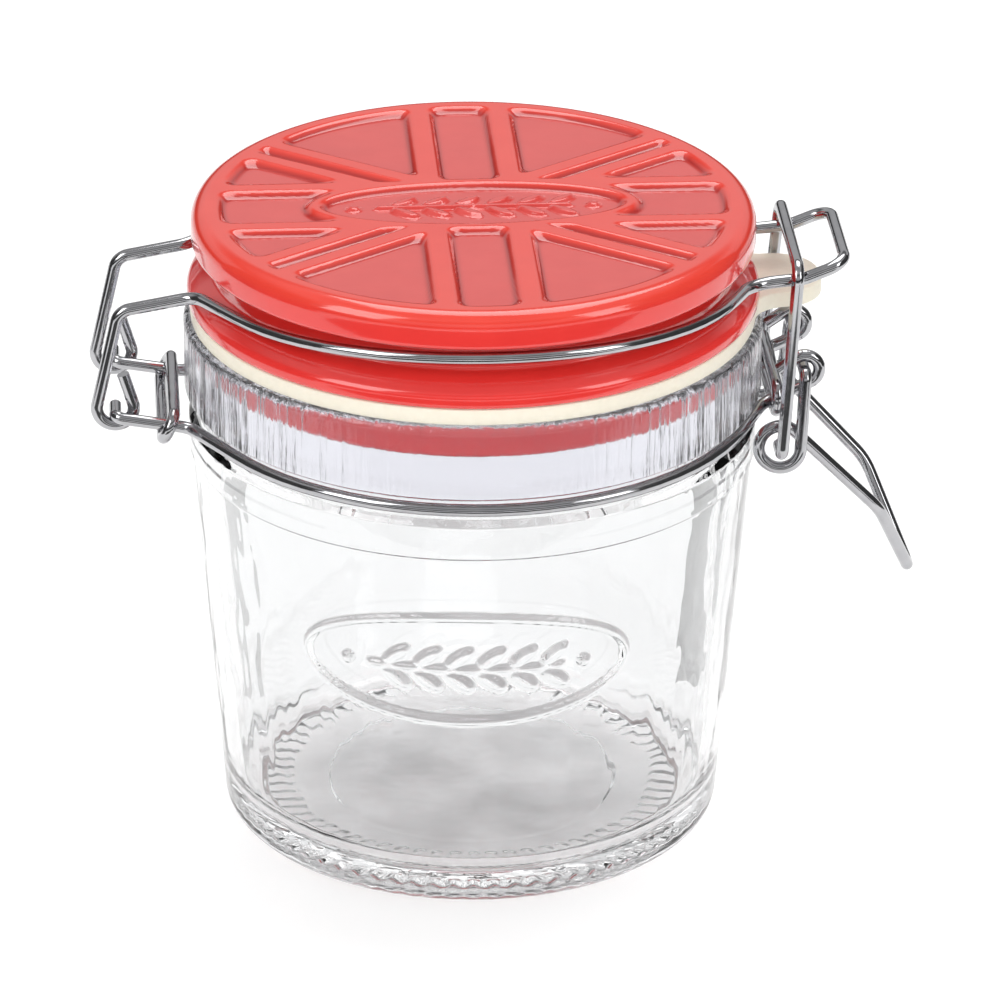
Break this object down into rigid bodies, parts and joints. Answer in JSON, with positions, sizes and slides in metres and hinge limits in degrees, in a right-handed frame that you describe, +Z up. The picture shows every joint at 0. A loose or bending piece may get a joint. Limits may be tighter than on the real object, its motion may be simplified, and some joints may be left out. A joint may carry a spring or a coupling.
{
  "type": "clip-top jar",
  "caption": "Round tapered glass storage jar, latched shut: glazed lid with raised ribs on a flat rubber seal with a pull tab, sprung wire hinge and a V-shaped wire lever that tensions a loop.",
  "frame": {"origin": "bottom centre of the whole object's bounding box, on the surface the jar stands on; the glass axis lies 5.5 mm to the -X side of it", "axes": "+Z up along the glass axis, +X from the hinge towards the latch, +Y to the left of someone who faces +X; the object is symmetric about the XZ plane but for the turned tab of the seal and the hinge ends of the neck wires"},
  "size_m": [0.1334, 0.093, 0.1048],
  "materials": {
    "glass": "clear pressed glass",
    "lid_glaze": "glossy translucent red glaze",
    "seal": "matt cream rubber",
    "wire": "bright plated spring steel"
  },
  "bodies": {
    "jar": {"jar_glass": "glass", "seal_ring": "seal", "lid": "lid_glaze", "neck_wire_front": "wire", "neck_wire_rear": "wire", "lid_wire": "wire", "tie_link_hinge": "wire", "tie_link_latch": "wire"},
    "lever": {"lever": "wire"},
    "draw_loop": {"draw_loop": "wire"}
  },
  "joints": [
    {"name": "lever_swing", "type": "hinge", "parent": "jar", "child": "lever", "pos_m": [0.0468, 0, 0.0787], "axis": [0, -1, 0], "range_deg": [0, 90]},
    {"name": "draw_loop_swing", "type": "hinge", "parent": "lever", "child": "draw_loop", "pos_m": [0.0427, 0, 0.06705], "axis": [0, -1, 0], "range_deg": [-57, 0]}
  ],
  "couplings": [
    {"joint": "draw_loop_swing", "follows": "lever_swing", "ratio": -0.6333}
  ]
}
